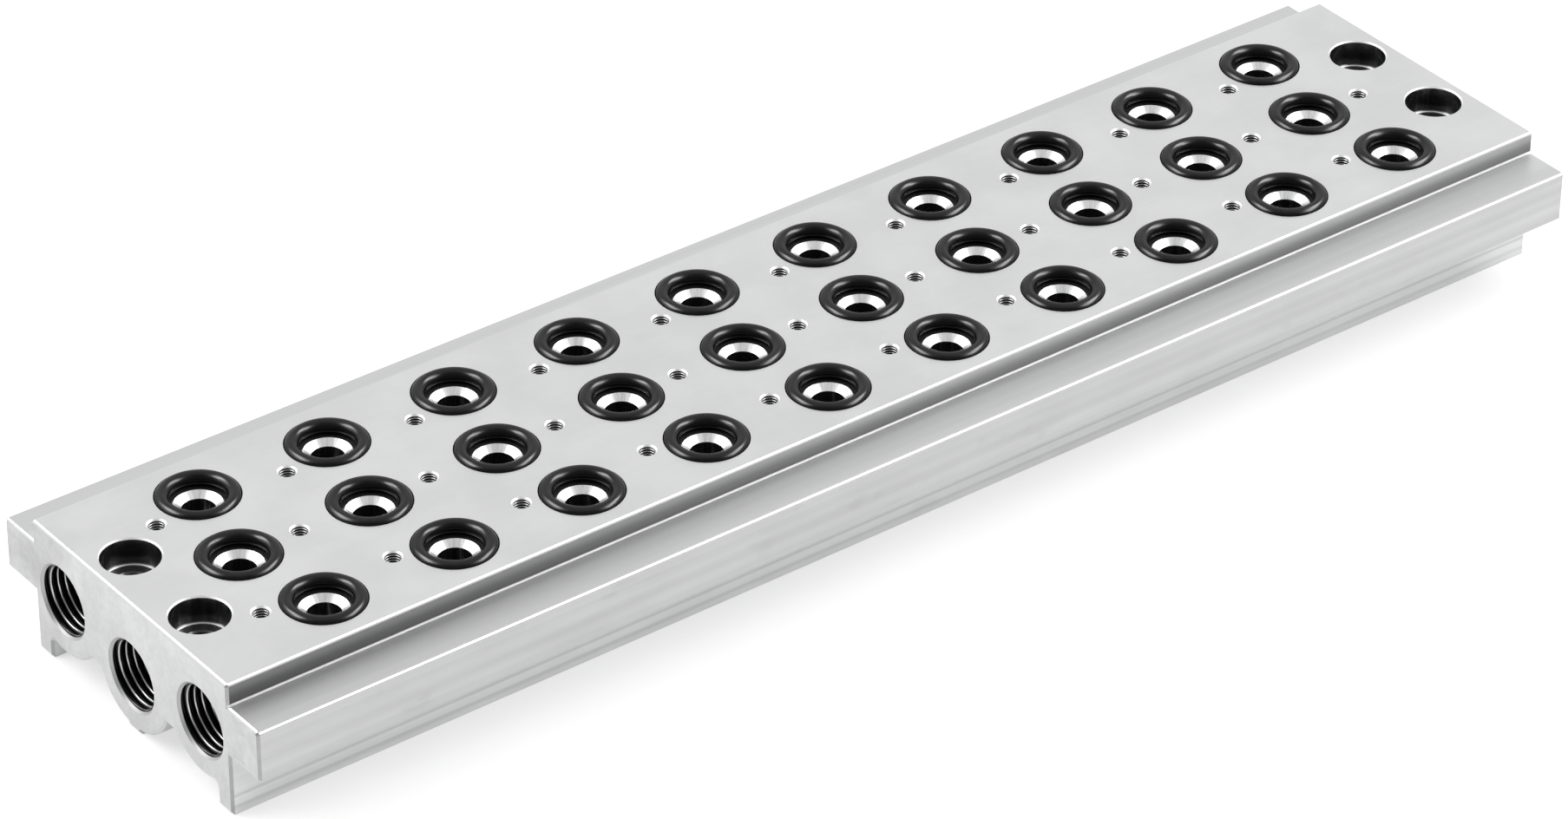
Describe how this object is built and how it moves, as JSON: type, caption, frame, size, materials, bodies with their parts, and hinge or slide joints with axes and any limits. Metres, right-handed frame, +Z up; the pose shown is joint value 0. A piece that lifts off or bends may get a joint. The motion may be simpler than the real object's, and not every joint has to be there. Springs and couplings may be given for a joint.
{
  "type": "hydraulic manifold block",
  "caption": "Long flanged aluminium manifold block with rows of O-ring sealed valve ports and tapped holes on top, threaded gallery ports in both ends and counterbored bolt holes.",
  "frame": {"origin": "middle of the underside, halfway along and across the block", "axes": "+X along the block, away from the end whose first valve port is nearest; +Y across the block; +Z up, out of the face with the valve ports"},
  "size_m": [0.2734, 0.0732, 0.0257],
  "materials": {
    "aluminium": "satin, milled and brushed",
    "seal_rubber": "satin black"
  },
  "bodies": {
    "root": {"manifold_block": "aluminium", "o_ring_front_01": "seal_rubber", "o_ring_front_02": "seal_rubber", "o_ring_front_03": "seal_rubber", "o_ring_front_04": "seal_rubber", "o_ring_front_05": "seal_rubber", "o_ring_front_06": "seal_rubber", "o_ring_front_07": "seal_rubber", "o_ring_front_08": "seal_rubber", "o_ring_front_09": "seal_rubber", "o_ring_front_10": "seal_rubber", "o_ring_middle_01": "seal_rubber", "o_ring_middle_02": "seal_rubber", "o_ring_middle_03": "seal_rubber", "o_ring_middle_04": "seal_rubber", "o_ring_middle_05": "seal_rubber", "o_ring_middle_06": "seal_rubber", "o_ring_middle_07": "seal_rubber", "o_ring_middle_08": "seal_rubber", "o_ring_middle_09": "seal_rubber", "o_ring_middle_10": "seal_rubber", "o_ring_rear_01": "seal_rubber", "o_ring_rear_02": "seal_rubber", "o_ring_rear_03": "seal_rubber", "o_ring_rear_04": "seal_rubber", "o_ring_rear_05": "seal_rubber", "o_ring_rear_06": "seal_rubber", "o_ring_rear_07": "seal_rubber", "o_ring_rear_08": "seal_rubber", "o_ring_rear_09": "seal_rubber", "o_ring_rear_10": "seal_rubber"}
  },
  "joints": []
}
